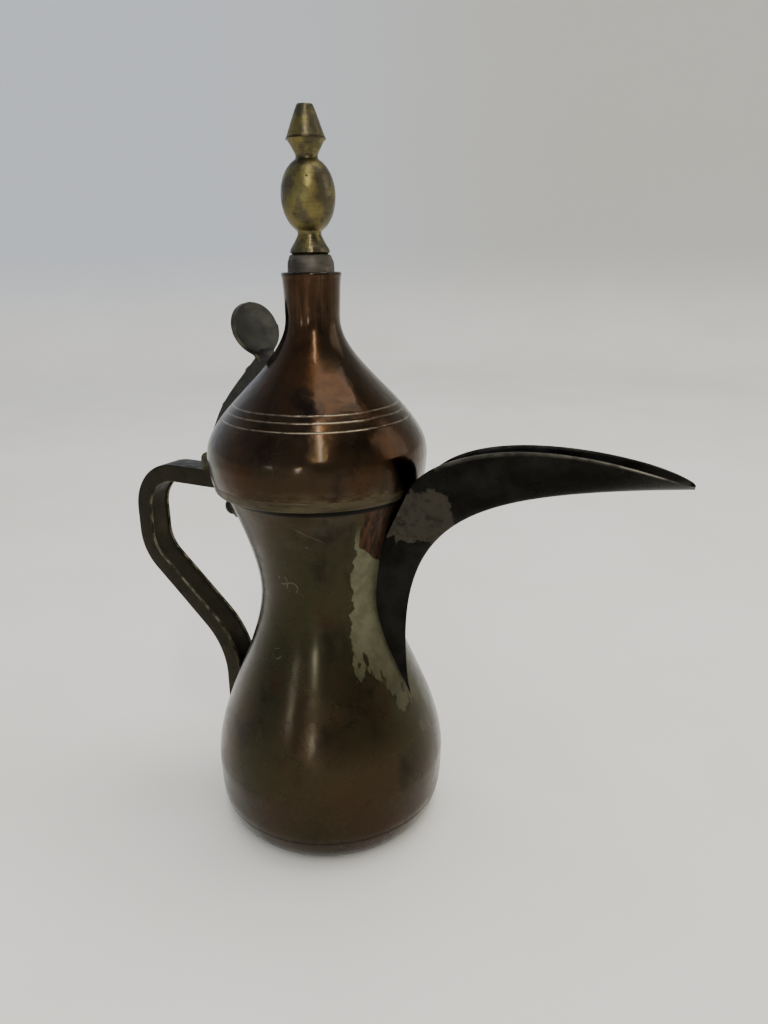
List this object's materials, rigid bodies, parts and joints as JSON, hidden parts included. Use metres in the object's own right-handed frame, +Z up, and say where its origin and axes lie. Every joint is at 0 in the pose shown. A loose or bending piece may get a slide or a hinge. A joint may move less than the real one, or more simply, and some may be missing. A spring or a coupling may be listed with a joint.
{
  "type": "dallah coffee pot",
  "caption": "Copper dallah with a pear-shaped body, hinged onion-dome lid with a turned brass finial, long open beak spout, bent strap handle and thumb lever.",
  "frame": {"origin": "centre of the base on the surface that the pot stands on, on the body's axis", "axes": "+Z up along the body's axis; +X towards the spout's tip; the handle is at -X; the lid's hinge axis is along Y"},
  "size_m": [0.2474, 0.1026, 0.2991],
  "materials": {
    "body_copper": "dark olive-brown copper patina, satin, with grey tin patches",
    "lid_copper": "polished dark red-brown copper",
    "spout_copper": "near-black patina on folded copper sheet",
    "handle_metal": "dark tarnished brass with worn edges",
    "lever_metal": "dark tarnished brass",
    "brass_trim": "worn brass",
    "finial_brass": "turned aged brass",
    "tin_solder": "dull grey tin",
    "hinge_steel": "worn steel"
  },
  "bodies": {
    "pot": {"body_shell": "body_copper", "base_pan": "body_copper", "rim_ring": "brass_trim", "spout": "spout_copper", "handle_channel": "handle_metal", "handle_inner_strip": "handle_metal", "handle_saddle": "handle_metal", "saddle_rivets": "handle_metal", "handle_foot_plate": "handle_metal", "foot_rivets": "handle_metal", "hinge_bracket": "handle_metal", "hinge_pin": "hinge_steel"},
    "lid": {"lid_arm": "lever_metal", "arm_rivets": "lever_metal", "thumb_paddle": "lever_metal", "lid_shell": "lid_copper", "lid_rim_band": "brass_trim", "lid_collar": "lid_copper", "finial_ferrule": "tin_solder", "finial": "finial_brass", "finial_washer": "finial_brass"}
  },
  "joints": [
    {"name": "lid_hinge", "type": "hinge", "parent": "pot", "child": "lid", "pos_m": [-0.055, 0, 0.1615], "axis": [0, -1, 0], "range_deg": [0, 100]}
  ]
}
